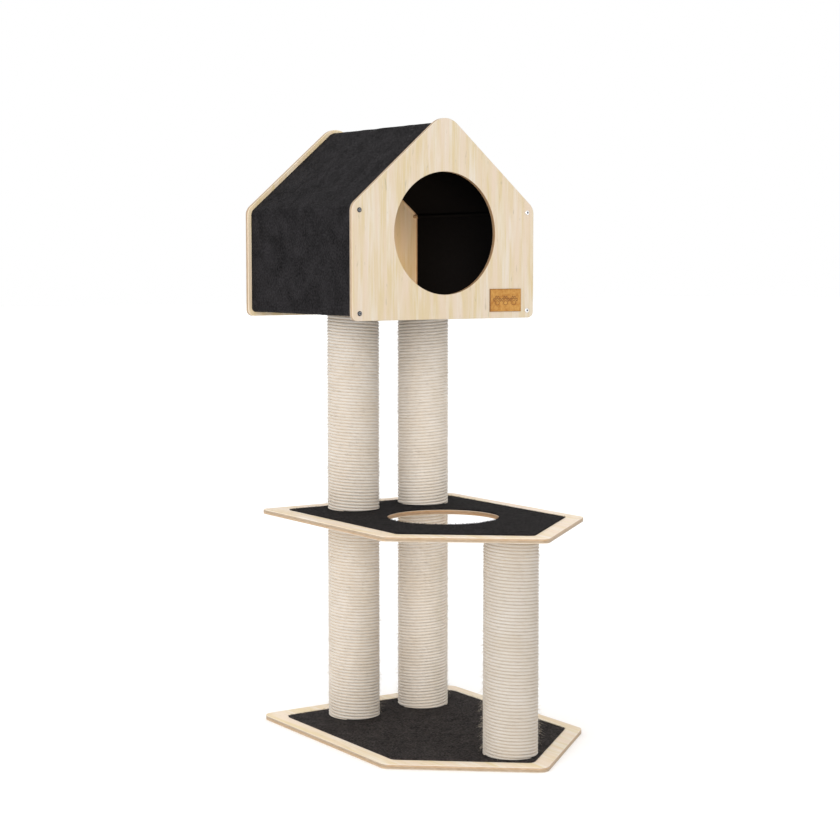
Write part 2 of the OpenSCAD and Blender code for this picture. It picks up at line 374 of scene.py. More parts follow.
def blendColour(tree, factor, a, b, mode="MIX"):
    made = node(tree, "ShaderNodeMix", data_type="RGBA", blend_type=mode)
    for k, value in ((0, factor), (6, a), (7, b)):     # the node's colour sockets are its seventh and eighth
        feed(tree, made.inputs[k], value)
    return made.outputs[2]


# Remaps a value from one range to another, held at the ends.
def spread(tree, value, low, high, toLow=0.0, toHigh=1.0):
    made = node(tree, "ShaderNodeMapRange", Value=value, From_Min=low, From_Max=high,
                To_Min=toLow, To_Max=toHigh)
    return made.outputs[0]


def objectCoords(tree, turn=(0.0, 0.0, 0.0), shift=(0.0, 0.0, 0.0)):
    own = node(tree, "ShaderNodeTexCoord")
    mapping = node(tree, "ShaderNodeMapping", Vector=own.outputs["Object"], Rotation=np.radians(turn),
                   Location=shift)
    return mapping.outputs["Vector"]


def noiseValue(tree, scale, detail=2.0, roughness=0.5, coords=None):
    coords = objectCoords(tree) if coords is None else coords
    made = node(tree, "ShaderNodeTexNoise", Vector=coords, Scale=scale, Detail=detail, Roughness=roughness)
    return made.outputs["Fac"]


# The two parts of the piece's own map.
def mapParts(tree):
    own = node(tree, "ShaderNodeUVMap", uv_map="UVMap")
    parts = node(tree, "ShaderNodeSeparateXYZ", Vector=own.outputs["UV"])
    return parts.outputs["X"], parts.outputs["Y"]


# A material with one Principled shader, whose plain values are given by socket name.
def newMaterial(name, **plain):
    material = bpy.data.materials.new(name)
    material.use_nodes = True
    tree = material.node_tree
    tree.nodes.clear()
    shader = node(tree, "ShaderNodeBsdfPrincipled", **plain)
    node(tree, "ShaderNodeOutputMaterial", Surface=shader.outputs["BSDF"])
    return material, tree, shader


def addBump(tree, shader, height, distance, strength):
    bump = node(tree, "ShaderNodeBump", Height=height, Distance=distance, Strength=strength)
    feed(tree, shader.inputs["Normal"], bump.outputs["Normal"])


# A linear colour from 0-255 screen values.
def srgb(r, g, b):
    v = np.array((r, g, b)) / 255.0
    v = np.where(v <= 0.04045, v / 12.92, ((v + 0.055) / 1.055) ** 2.4)
    return (float(v[0]), float(v[1]), float(v[2]), 1.0)


# A colour times one tone, or one for each channel, held short of pure white.
def toned(colour, tone):
    return tuple(float(c) for c in np.minimum(np.array(colour[:3]) * tone, 0.97)) + (1.0,)


grainSet = {
    # each noise: its scale across the grain and along it, its detail and shift, the values where it begins
    # and is full, and its share when full
    "bands": (80.0, 6.5, 3.5, 0.0, 0.36, 0.64, 0.95),
    "wide": (26.0, 3.2, 2.0, 9.1, 0.42, 0.66, 0.3),
    "blush": (56.0, 5.4, 3.0, 4.3, 0.42, 0.66, 0.9),
    "streaks": (300.0, 11.0, 4.0, 2.2, 0.42, 0.70, 0.55),
    "flecks": (190.0, 34.0, 3.0, 6.6, 0.66, 0.74, 0.6),
}
napSet = {
    "patchShare": 0.5,
    "tuftShare": 0.75,
    "speckShare": 0.2,
    "middle": 0.4,         # the shade where neither patch nor tuft shows
    "speckScale": 900.0,
}


# Fine wood figure: the vector's Z runs along the grain. Bands, streaks and a blush are noises drawn out along
# the grain at four widths, and short dark flecks are the peaks of a fifth.
def woodGrainGroup():
    group, inp, out = socketed(
        "woodGrain",
        [("Vector", "v", None), ("Pale", "c", (1, 1, 1, 1)), ("Deep", "c", (0.8, 0.6, 0.4, 1)),
         ("Blush", "c", (0.9, 0.7, 0.6, 1)), ("Fleck", "c", (0.6, 0.6, 0.5, 1))],
        [("Color", "c"), ("Height", "f")])
    raw, share = {}, {}
    for key, (across, along, detail, shift, begins, full, most) in grainSet.items():
        place = node(group, "ShaderNodeMapping", Vector=inp.outputs["Vector"], Scale=(across, across, along),
                     Location=(shift, shift * 0.7, shift * 0.3))
        noise = node(group, "ShaderNodeTexNoise", Vector=place.outputs["Vector"], Scale=1.0, Detail=detail,
                     Roughness=0.55, Distortion=0.35)
        raw[key] = noise.outputs["Fac"]
        share[key] = spread(group, raw[key], begins, full, 0.0, most)
    amount = maths(group, "ADD", share["bands"], share["streaks"])
    amount = maths(group, "ADD", amount, share["wide"], clamp=True)
    colour = blendColour(group, amount, inp.outputs["Pale"], inp.outputs["Deep"])
    colour = blendColour(group, share["blush"], colour, inp.outputs["Blush"])
    colour = blendColour(group, share["flecks"], colour, inp.outputs["Fleck"])
    feed(group, out.inputs["Color"], colour)
    feed(group, out.inputs["Height"], maths(group, "SUBTRACT", raw["streaks"], share["flecks"]))
    return group


# Brushed nap: soft patches where the pile lies one way or the other and tufts that catch the light or not,
# both painted into the colour as sheen, and a fine speckle of fibre tips.
def napGroup():
    p = napSet
    group, inp, out = socketed(
        "paintedNapSheen",
        [("Vector", "v", None), ("Patch Size", "f", 0.03), ("Tuft Size", "f", 0.004), ("Contrast", "f", 0.5)],
        [("Shade", "f"), ("Speckle", "f")])

    def noise(scale, **sets):
        made = node(group, "ShaderNodeTexNoise", Vector=inp.outputs["Vector"], Scale=scale, **sets)
        return made.outputs["Fac"]

    many = {key: maths(group, "DIVIDE", 1.0, inp.outputs[key]) for key in ("Patch Size", "Tuft Size")}
    patch = noise(many["Patch Size"], Detail=4.0, Roughness=0.6, Distortion=0.6)
    tuft = noise(many["Tuft Size"], Detail=2.0, Roughness=0.5)
    speckle = spread(group, noise(p["speckScale"], Detail=3.0, Roughness=0.7), 0.25, 0.75)
    patches = maths(group, "SUBTRACT", spread(group, patch, 0.3, 0.7), 0.5)
    patches = maths(group, "MULTIPLY", patches, inp.outputs["Contrast"])
    tufted = maths(group, "SUBTRACT", spread(group, tuft, 0.32, 0.68), 0.5)
    shade = maths(group, "MULTIPLY", patches, p["patchShare"])
    shade = maths(group, "ADD", shade, maths(group, "MULTIPLY", tufted, p["tuftShare"]))
    shade = maths(group, "ADD", shade, maths(group, "MULTIPLY", speckle, p["speckShare"]))
    feed(group, out.inputs["Shade"], maths(group, "ADD", shade, p["middle"], clamp=True))
    feed(group, out.inputs["Speckle"], speckle)
    return group


grainGroup = woodGrainGroup()
paintedNapSheen = napGroup()

woodSet = {
    "pale": srgb(210, 201, 188),
    "deep": srgb(199, 181, 145),
    "blush": srgb(206, 188, 168),
    "fleck": srgb(164, 155, 131),
    "plyWarm": srgb(172, 142, 108),    # a ply whose grain runs along the edge
    "plyCool": srgb(155, 134, 108),    # a ply seen on its end grain
    "glue": srgb(130, 107, 84),
    "cut": (0.80, 0.68, 0.56, 1.0),    # the saw's warm browning inside a hole
    "rough": 0.5,
    "plyFibre": 300.0,                 # scale of the fibres on the edges
    "glueAt": 0.49,                    # share of the thickness, as are the widths below
    "glueWide": 0.07,
    "veneerFrom": (0.37, 0.42),        # the face veneers' edges, out from the middle
    # each sheet's tone, for the red, green and blue of its face figure: one plywood made lighter or darker
    # sheet by sheet for how the light falls on it, which is painted light and shade
    "tones": {"base": (1.33, 1.35, 1.39), "shelf": (1.43, 1.43, 1.49), "front": (0.97, 0.97, 0.98),
              "back": (1.23, 1.20, 1.12), "floor": 1.0, "shell": 0.62, "plug": 0.7},
}


# Lacquered plywood: figure on both faces, and the plies showing on the edges. axis is the thickness
# direction, low and high are the two faces along it, and grainTurn turns the figure's Z onto the face's own
# grain direction. hole is the place of its middle across and along the board, and its radius.
def plywood(name, low, high, axis, grainTurn, shift=(0.0, 0.0, 0.0), tone="floor", hole=None):
    p = woodSet
    material, tree, shader = newMaterial(name, Specular_IOR_Level=0.3)
    # the sheet's tone lightens or darkens its figure: painted light and shade
    figure = {key.capitalize(): toned(p[key], p["tones"][tone]) for key in ("pale", "deep", "blush", "fleck")}
    figure["Vector"] = objectCoords(tree, grainTurn, shift)
    grain = node(tree, "ShaderNodeGroup", node_tree=grainGroup, **figure)
    own = node(tree, "ShaderNodeTexCoord")
    facing = node(tree, "ShaderNodeSeparateXYZ", Vector=own.outputs["Normal"])
    place = node(tree, "ShaderNodeSeparateXYZ", Vector=own.outputs["Object"])
    onEdge = spread(tree, maths(tree, "ABSOLUTE", facing.outputs[axis]), 0.80, 0.45)
    through = spread(tree, place.outputs[axis], low, high)    # 0 to 1 through the thickness
    sideways = spread(tree, maths(tree, "ABSOLUTE", facing.outputs[0]), 0.70, 0.80)
    lowerHalf = spread(tree, through, 0.46, 0.52)
    plies = blendColour(tree, apart(tree, lowerHalf, sideways), p["plyCool"], p["plyWarm"])
    drawn = node(tree, "ShaderNodeMapping", Vector=own.outputs["Object"],
                 Scale=tuple(2.5 if k == axis else 0.35 for k in range(3)))
    fibre = noiseValue(tree, p["plyFibre"], 4.0, coords=drawn.outputs["Vector"])
    plies = blendColour(tree, spread(tree, fibre, 0.35, 0.68, 0.0, 0.4), plies, p["blush"])
    fromGlue = apart(tree, through, p["glueAt"])
    plies = blendColour(tree, spread(tree, fromGlue, 0.0, p["glueWide"], 0.6, 0.0), plies, p["glue"])
    fromMiddle = apart(tree, through, 0.5)
    plies = blendColour(tree, spread(tree, fromMiddle, *p["veneerFrom"]), plies, p["pale"])
    if hole:
        across = maths(tree, "SUBTRACT", place.outputs[0], hole[0])
        along = maths(tree, "SUBTRACT", place.outputs[3 - axis], hole[1])
        square = maths(tree, "MULTIPLY", across, across)
        square = maths(tree, "ADD", square, maths(tree, "MULTIPLY", along, along))
        inHole = spread(tree, maths(tree, "SQRT", square), hole[2] + 0.004, hole[2] + 0.003)
        plies = blendColour(tree, inHole, plies, blendColour(tree, 1.0, plies, p["cut"], "MULTIPLY"))
    feed(tree, shader.inputs["Base Color"], blendColour(tree, onEdge, grain.outputs["Color"], plies))
    rough = spread(tree, fibre, 0.3, 0.7, p["rough"] - 0.06, p["rough"] + 0.08)
    feed(tree, shader.inputs["Roughness"], rough)
    addBump(tree, shader, grain.outputs["Height"], 0.0003, 0.3)
    return material


# Black pile: patches of nap painted in as sheen, speckled with fibre tips, and the shader's own faint sheen
# at grazing angles.
def pileMaterial(name, dark, light, patchSize, contrast, sheen, rough=0.9, gloss=0.06):
    material, tree, shader = newMaterial(name, Roughness=rough, Specular_IOR_Level=gloss, Sheen_Weight=sheen,
                                         Sheen_Roughness=0.5, Sheen_Tint=(1.0, 0.97, 0.96, 1.0))
    nap = node(tree, "ShaderNodeGroup", node_tree=paintedNapSheen, Vector=objectCoords(tree), Patch_Size=patchSize,
               Contrast=contrast)
    colour = blendColour(tree, nap.outputs["Shade"], srgb(*dark), srgb(*light))
    feed(tree, shader.inputs["Base Color"], colour)
    addBump(tree, shader, nap.outputs["Speckle"], 0.0012, 0.7)
    return material


baseLow, baseHigh = (np.array(v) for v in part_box("base_board"))
shelfLow, shelfHigh = (np.array(v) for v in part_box("shelf_board"))
frontLow, frontHigh = (np.array(v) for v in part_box("house_front_panel"))
backLow, backHigh = (np.array(v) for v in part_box("house_back_panel"))
coverLow, coverHigh = (np.array(v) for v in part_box("house_cover"))
liningLow, liningHigh = (np.array(v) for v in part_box("house_lining"))
deckSet = {
    "sideAt": -0.328,      # where the sloping front edges begin
    "pointAt": -0.510,     # where they would meet
    "shelfRadius": 0.014,
    "edge": 0.0013,        # rounding of the arrises
    "holeAt": -0.188,
    "holeRadius": 0.106,
}
gableSet = {
    "wall": 0.208,         # unrounded shoulder above the panel's lower edge
    "ridge": 0.383,
    "radii": (0.012, 0.023, 0.040),
    "edge": 0.0012,
    "entryRadius": 0.1133,
    "entryAt": 0.159,
    "lip": 0.0079,         # from the panel's outline in to the plush
    "bodyRadii": (0.008, 0.016, 0.026),
    "cover": 0.0014,
    "shell": 0.0019,
    "lining": 0.0005,
}
halfBoard = baseHigh[0]
boardBack = baseHigh[1]
halfHouse = frontHigh[0]
panelFoot = frontLow[2]


# The board's five corners moved in by a margin behind, beside and in front, anticlockwise from above.
def deckCorners(margins=(0.0, 0.0, 0.0)):
    slope = (deckSet["sideAt"] - deckSet["pointAt"]) / halfBoard
    point = deckSet["pointAt"] + margins[2] * np.hypot(1.0, slope)
    x = halfBoard - margins[1]
    back = boardBack - margins[0]
    side = point + x * slope
    return [(-x, back), (-x, side), (0.0, point), (x, side), (x, back)]


# The gable's five corners moved in all round, anticlockwise seen from the front, heights from the floor.
def gableCorners(inset=0.0):
    rise = (gableSet["ridge"] - gableSet["wall"]) / halfHouse
    x = halfHouse - inset
    ridge = gableSet["ridge"] - inset * np.hypot(1.0, rise)
    up = panelFoot
    shoulder = up + ridge - x * rise
    return [(-x, up + inset), (x, up + inset), (x, shoulder), (0.0, up + ridge), (-x, shoulder)]


def fiveRadii(three, less=0.0):
    low, shoulder, ridge = (max(r - less, 0.0005) for r in three)
    return (low, low, shoulder, ridge, shoulder)


alongY = (90.0, 0.0, 0.0)      # turns the figure's Z onto the boards' front-to-back grain
alongZ = (0.0, 0.0, 0.0)
entryHeight = panelFoot + gableSet["entryAt"]

baseWood = plywood("plywoodBase", baseLow[2], baseHigh[2], 2, alongY, tone="base")
shelfWood = plywood("plywoodShelf", shelfLow[2], shelfHigh[2], 2, alongY, (0.31, 0.0, 0.17), "shelf",
                    (0.0, deckSet["holeAt"], deckSet["holeRadius"]))
frontWood = plywood("plywoodFront", frontLow[1], frontHigh[1], 1, alongZ, tone="front",
                    hole=(0.0, float(entryHeight), gableSet["entryRadius"]))
backWood = plywood("plywoodBack", backLow[1], backHigh[1], 1, alongZ, (0.5, 0.2, 0.3), "back")
floorWood = plywood("plywoodFloor", frontLow[2], frontHigh[2], 2, alongY)


# A copy of a node's mesh with its points joined and its arrises rounded.
def softenedCopy(nodeName, pieceName, width):
    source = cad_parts[nodeName]
    mesh = source.data.copy()
    mesh.name = pieceName
    shape = bmesh.new()
    shape.from_mesh(mesh)
    bmesh.ops.remove_doubles(shape, verts=shape.verts, dist=1e-6)
    bmesh.ops.dissolve_limit(shape, angle_limit=np.radians(0.5), verts=shape.verts, edges=shape.edges)
    bmesh.ops.recalc_face_normals(shape, faces=shape.faces)
    shape.to_mesh(mesh)
    shape.free()
    mesh.materials.clear()
    piece = bpy.data.objects.new(pieceName, mesh)
    scene.collection.objects.link(piece)
    bevel = piece.modifiers.new("arris", "BEVEL")
    bevel.width = width
    bevel.segments = 3
    bevel.limit_method = "ANGLE"
    bevel.angle_limit = np.radians(40)
    bevel.harden_normals = True
    for polygon in mesh.polygons:
        polygon.use_smooth = True
    return piece


finishPiece(softenedCopy("base_board", "baseBoard", deckSet["edge"]), baseWood, "plywood", "base_board")
shelfOutline = roundedOutline(deckCorners(), [deckSet["shelfRadius"]] * 5)
finishPiece(plate("shelfBoard", shelfOutline, shelfLow[2], shelfHigh[2], deckSet["edge"], False,
                  ((0.0, deckSet["holeAt"]), deckSet["holeRadius"])), shelfWood, "plywood", "shelf_board")
gableOutline = roundedOutline(gableCorners(), fiveRadii(gableSet["radii"]))
finishPiece(plate("housePanelFront", gableOutline, frontLow[1], frontHigh[1], gableSet["edge"], True,
                  ((0.0, entryHeight), gableSet["entryRadius"])), frontWood, "plywood", "house_front_panel")
finishPiece(plate("housePanelBack", gableOutline, backLow[1], backHigh[1], gableSet["edge"], True),
            backWood, "plywood", "house_back_panel")
print("stage: boards and panels")

ropeSet = {
    "thick": 0.006,
    "starts": 3,           # ropes wound side by side
    "around": 96,          # steps in one turn
    "ring": 12,            # sides of the rope
    "square": 1.22,        # 1 is a round section, less is squarer, more is keener
    "wander": 0.00002,     # how unevenly the turns lie
    "lay": 0.016,          # length in which a strand goes once round the rope
    "strands": 3.0,
    "face": (srgb(217, 209, 199), srgb(212, 202, 189)),
    # painted shade in the valleys between the strands
    "groove": srgb(190, 175, 156),
    "fibre": srgb(228, 221, 210),
    "side": srgb(244, 227, 204),       # painted light on the sides of each turn, where it meets its neighbours
    "hairs": 2400,
    "hairLength": (0.003, 0.016),
    "hairCurve": 2.5,      # the more, the more of them are short
    "hairLean": 0.35,      # how far they stray from straight out
    "hairRoot": 0.0008,    # how deep they are rooted
    "hairEnds": 0.01,      # how far they keep from both ends of the post
    "hairThick": 0.00016,
    "hairColour": srgb(213, 200, 181),
    # each post's rope: its lightness, set for how the light falls on that post, which is painted light and
    # shade, and how much painted light the sides of its turns get
    "reels": {"front": (0.76, 0.9), "left": (0.88, 0.95), "right": (1.01, 0.5)},
}


# Twisted cotton rope: the map's U runs along the rope in metres and V goes once round it. Strand ridges are a
# sine of the strand count times U over the lay plus V; fibres are a fine noise. The valleys between the
# strands are darkened as painted shade. The tops and bottoms of the section, where the turns meet, are
# lightened as painted light. tone lightens or darkens the whole rope as painted light and shade.
def ropeMaterial(name, tone, clean):
    p = ropeSet
    material, tree, shader = newMaterial(name, Roughness=0.85, Specular_IOR_Level=0.2, Sheen_Weight=0.15)
    along, about = mapParts(tree)
    phase = maths(tree, "ADD", maths(tree, "MULTIPLY", along, p["strands"] / p["lay"]),
                  maths(tree, "MULTIPLY", about, p["strands"]))
    wave = maths(tree, "SINE", maths(tree, "MULTIPLY", phase, 2 * np.pi))
    strand = spread(tree, wave, -1.0, 1.0)
    coords = objectCoords(tree)
    fibre = noiseValue(tree, 700.0, 3.0, coords=coords)
    blotch = noiseValue(tree, 22.0, 3.0, coords=coords)
    # the tops and bottoms of the section, where the turns meet and shade falls, are lightened: painted light
    side = maths(tree, "ABSOLUTE", maths(tree, "SINE", maths(tree, "MULTIPLY", about, 2 * np.pi)))
    base = blendColour(tree, spread(tree, blotch, 0.35, 0.65), *(toned(c, tone) for c in p["face"]))
    for key, amount in (("groove", spread(tree, strand, 0.0, 0.45, 0.06, 0.0)),
                        ("fibre", spread(tree, fibre, 0.35, 0.7, 0.0, 0.1)),
                        ("side", spread(tree, side, 0.72, 1.0, 0.0, clean))):
        base = blendColour(tree, amount, base, toned(p[key], tone))
    feed(tree, shader.inputs["Base Color"], base)
    height = maths(tree, "ADD", strand, maths(tree, "MULTIPLY", fibre, 0.35))
    addBump(tree, shader, height, 0.0003, 0.22)
    return material


# Single hairs: one colour broken up along the object.
def hairMaterial(name, colour):
    material, tree, shader = newMaterial(name, Roughness=0.85, Specular_IOR_Level=0.2)
    broken = spread(tree, noiseValue(tree, 160.0), 0.35, 0.65)
    feed(tree, shader.inputs["Base Color"], blendColour(tree, broken, colour, toned(colour, 0.7)))
    return material


ropeWraps = {side: ropeMaterial("ropeCotton." + side, *postPaintedLight) for side, postPaintedLight in ropeSet["reels"].items()}
hairCream = hairMaterial("ropeHair", ropeSet["hairColour"])


# Three ropes laid side by side and wound from the foot of a post to its top, each a third of a turn behind
# the last. The way climbed, s, runs from nothing to one thickness past the top. A rope's lower edge is at s
# less one thickness and its upper edge at s, both held between foot and top, so the first and last stretches
# are wedges that end level. The angle is s over three thicknesses, in turns. Across, the section is a
# superellipse.
def windRope(name, nodeName, hand, seed):
    p = ropeSet
    low, high = (np.array(v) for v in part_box(nodeName))
    centre = (low + high)[:2] / 2
    thick, starts = p["thick"], p["starts"]
    mid = (high[0] - low[0]) / 2 - thick / 2
    tall = high[2] - low[2]
    s = np.arange(thick * 0.12, tall + thick * 0.88, thick * starts / p["around"])
    v = np.linspace(0, 1, p["ring"], endpoint=False)
    ring = -np.stack([np.cos(2 * np.pi * v), np.sin(2 * np.pi * v)], axis=1)    # the map's seam lies inwards
    ring = np.sign(ring) * np.abs(ring) ** p["square"]
    rng = np.random.default_rng(seed)
    points, uv, quads, ends = [], [], [], []
    each = len(s) * p["ring"] + 2
    for k in range(starts):
        angle = hand * 2 * np.pi * (s / (thick * starts) - k / starts) + seed
        lower = np.clip(s - thick, 0, tall)
        upper = np.clip(s, 0, tall)
        phases = rng.uniform(0, 2 * np.pi, 4)
        wave = sum(np.sin(rate * angle + phase) for rate, phase in zip((0.37, 1.13, 2.71), phases))
        free = np.clip((upper - lower) / thick, 0, 1) * np.clip(np.minimum(s, tall - s) / 0.02, 0, 1)
        rise = low[2] + (lower + upper) / 2 + p["wander"] * wave * free
        radius = mid - p["wander"] * (1 + np.sin(0.61 * angle + phases[3]))
        out = np.stack([np.cos(angle), np.sin(angle)], axis=1)
        offset = radius[:, None] + thick * 0.5 * ring[None, :, 0]
        grid = np.empty((len(s), p["ring"], 3))
        grid[..., :2] = centre + out[:, None] * offset[..., None]
        grid[..., 2] = rise[:, None] + (upper - lower)[:, None] * 0.5 * ring[None, :, 1]
        grid[..., 2] = np.clip(grid[..., 2], low[2], high[2])
        points += [grid.reshape(-1, 3), grid[0].mean(axis=0)[None], grid[-1].mean(axis=0)[None]]
        along, about = np.broadcast_arrays((hand * angle * mid)[:, None], v[None, :])
        uv += [np.stack([along, about], axis=-1).reshape(-1, 2), [(0.0, 0.0)] * 2]
        body, *tips = cappedFaces(len(s), p["ring"], k * each)
        quads.append(body)
        ends += tips
    faces = [np.concatenate(quads), np.concatenate(ends)]
    piece = closedPiece(name, np.concatenate(points), faces, np.concatenate(uv))
    return piece, centre, mid + thick / 2, low[2], high[2]


# Tapered three-sided hairs: each follows its direction and sags with the square of the way along it.
def hairs(name, roots, directions, lengths, thick, seed, droop=0.35):
    rng = np.random.default_rng(seed)
    steps = np.array((0.0, 0.4, 0.75, 1.0))
    count = len(roots)
    curl = rng.normal(0, 1, (count, 3)) * 0.3
    curl -= directions * (curl * directions).sum(axis=1)[:, None]
    way = lengths[:, None, None]
    s = steps[None, :, None]
    line = roots[:, None] + way * (directions[:, None] * s + curl[:, None] * s ** 2)
    line[..., 2] -= droop * lengths[:, None] * steps[None, :] ** 2
    side = np.cross(directions, (0.3, 0.5, 0.81))
    side /= np.linalg.norm(side, axis=1)[:, None]
    other = np.cross(directions, side)
    ringAngles = np.array((0.0, 2 * np.pi / 3, 4 * np.pi / 3))
    wide = thick * np.array((1.0, 0.8, 0.45))
    ring = (np.cos(ringAngles)[None, None, :, None] * side[:, None, None, :]
            + np.sin(ringAngles)[None, None, :, None] * other[:, None, None, :])
    tube = line[:, :3, None, :] + ring * wide[None, :, None, None]
    points = np.concatenate([tube.reshape(count, 9, 3), line[:, 3:4], roots[:, None]], axis=1)
    base = (np.arange(count) * 11)[:, None]
    first, last = np.array((0, 1, 2)), np.array((6, 7, 8))
    one = (gridFaces(3, 3, closeCols=True), fanFaces(last, 9), fanFaces(first, 10, True))
    return newPiece(name, points, [(f[None] + base[:, :, None]).reshape(-1, f.shape[1]) for f in one])


# which way each post is wound, seen from above: 1 is anticlockwise
windings = {"front_post": -1, "left_lower_post": -1, "right_lower_post": 1, "left_upper_post": -1,
            "right_upper_post": 1}
for number, (post, hand) in enumerate(windings.items()):
    words = post.split("_")
    label = words[0] + "".join(w.capitalize() for w in words[1:])
    rope, centre, outer, foot, top = windRope(label + "Rope", post + "_rope", hand, number + 1)
    finishPiece(rope, ropeWraps[words[0]], "rope", post + "_rope")
    rng = np.random.default_rng(40 + number)
    count, clear = ropeSet["hairs"], ropeSet["hairEnds"]
    turn = rng.uniform(0, 2 * np.pi, count)
    height = rng.uniform(foot + clear, top - clear, count)
    out = np.stack([np.cos(turn), np.sin(turn), np.zeros_like(turn)], axis=1)
    roots = np.column_stack([centre + out[:, :2] * (outer - ropeSet["hairRoot"]), height])
    lean = out + rng.normal(0, ropeSet["hairLean"], out.shape)
    lean /= np.linalg.norm(lean, axis=1)[:, None]
    short, long = ropeSet["hairLength"]
    lengths = short + (long - short) * rng.random(count) ** ropeSet["hairCurve"]
    fuzz = hairs(label + "Fuzz", roots, lean, lengths, ropeSet["hairThick"], 80 + number)
    finishPiece(fuzz, hairCream, "rope")
print("stage: rope")

carpetSet = {
    "baseMargins": (0.041, 0.029, 0.030),
    "shelfMargins": (0.043, 0.036, 0.031),
    "baseRadius": 0.015,
    "shelfRadius": 0.011,
    "lump": 0.00035,       # how high its top rises and falls
    "rings": 44,           # steps from the middle, or the hole, to the outline
    "round": (0.002, 0.45),            # width of the rounded cut edge, and its share of the thickness
    "fibreEvery": 0.0018,
    "fibreLength": (0.0012, 0.0026),
    "fringeLength": (0.0020, 0.0046),
    "fringeEvery": 0.00022,
    "fibreThick": 0.00022,
    "fringeThick": 0.00034,
    "rimMore": 1.5,        # how much longer and thicker the fibres along the cut edges are
    "rootDeep": 0.0012,    # how far below the top a fibre is rooted
    "rimDeep": (0.0022, 0.0008),
    "clumps": (131, 37),   # the fringe stands in uneven clumps: waves round the hole, and waves of those
}
carpetBlacks = {
    "baseCarpet": (pileMaterial("carpetPile", (10, 9, 9), (66, 61, 60), 0.02, 0.9, 0.015),
                   pileMaterial("carpetTips", (14, 13, 13), (106, 99, 97), 0.02, 0.9, 0.02)),
    # the shelf's carpet, which also makes the house mat, is the base carpet made darker: painted shade
    "shelfCarpet": (pileMaterial("carpetPileShaded", (10, 9, 9), (46, 43, 43), 0.02, 0.8, 0.01),
                    pileMaterial("carpetTipsShaded", (14, 13, 13), (72, 68, 68), 0.02, 0.8, 0.015)),
}


# A smooth uneven field in -1..1: a few sine waves of random heading with wavelengths round the given size.
def waves(x, y, seed, size):
    rng = np.random.default_rng(seed)
    total = np.zeros_like(x)
    count = 14
    for _ in range(count):
        heading = rng.uniform(0, 2 * np.pi)
        length = size * rng.uniform(0.6, 1.8)
        phase = rng.uniform(0, 2 * np.pi)
        total += np.sin(2 * np.pi * (x * np.cos(heading) + y * np.sin(heading)) / length + phase)
    return total / count ** 0.5 / 1.5


# A thick closed carpet: rings from the hole's edge, or a pole, out to the outline, over the rounded cut
# edge and back. The top's height is lifted and sunk by smooth waves, which die away at the edge.
def carpetPiece(name, margins, radius, foot, top, hole, seed):
    p = carpetSet
    points, _ = roundedOutline(deckCorners(margins), [radius] * 5, arcSteps=8, spacing=0.004)
    centre = np.array(hole[0]) if hole else np.array((0.0, -0.17))
    out = points - centre
    reach = np.linalg.norm(out, axis=1)
    out /= reach[:, None]
    inner = np.full(len(points), hole[1] if hole else 0.0)
    thick = top - foot
    rings, heights = [], []
    wide, deep = p["round"]
    middle = 0.02              # the first ring round a pole
    for share in np.linspace(0 if hole else middle, 1, p["rings"]):
        r = inner + (reach - inner) * share
        rings.append(centre + out * r[:, None])
        fromEdge = (reach - r) if not hole else np.minimum(reach - r, r - inner)
        drop = thick * deep * np.clip(1 - fromEdge / wide, 0, 1) ** 2
        x, y = rings[-1].T
        lump = p["lump"] * waves(x, y, seed, 0.03) * np.clip(fromEdge / 0.01, 0, 1)
        heights.append(top - p["lump"] - drop + lump)
    rings += [rings[-1], rings[0] if hole else centre + (points - centre) * middle]
    heights += [np.full(len(points), foot)] * 2
    grid = np.concatenate([np.column_stack([r, h]) for r, h in zip(rings, heights)])
    rows, cols = len(rings), len(points)
    if hole:
        faces = [gridFaces(rows, cols, closeRows=True, closeCols=True)]
    else:
        grid = np.concatenate([grid, [(*centre, top - p["lump"]), (*centre, foot)]])
        faces = cappedFaces(rows, cols)
    return closedPiece(name, grid, faces)


# Which points lie within a convex outline whose corners run anticlockwise.
def inside(corners, x, y):
    keep = np.ones(len(x), bool)
    for (ax, ay), (bx, by) in zip(corners, corners[1:] + corners[:1]):
        keep &= (bx - ax) * (y - ay) - (by - ay) * (x - ax) > 0
    return keep


# Short flat pile fibres: each is one narrow triangle, rooted in the cloth and leaning a little at random.
def tufts(name, roots, away, seed, length, thick):
    rng = np.random.default_rng(seed)
    count = len(roots)
    lean = away + rng.normal(0, 0.45, (count, 3))
    lean /= np.linalg.norm(lean, axis=1)[:, None]
    side = np.cross(lean, rng.normal(0, 1, (count, 3)))
    side /= np.linalg.norm(side, axis=1)[:, None]
    tall = (length[0] + (length[1] - length[0]) * rng.random(count))[:, None]
    points = np.stack([roots - side * thick, roots + side * thick, roots + lean * tall], axis=1)
    faces = np.arange(count * 3).reshape(-1, 3)
    return newPiece(name, points, [faces], smooth=False)


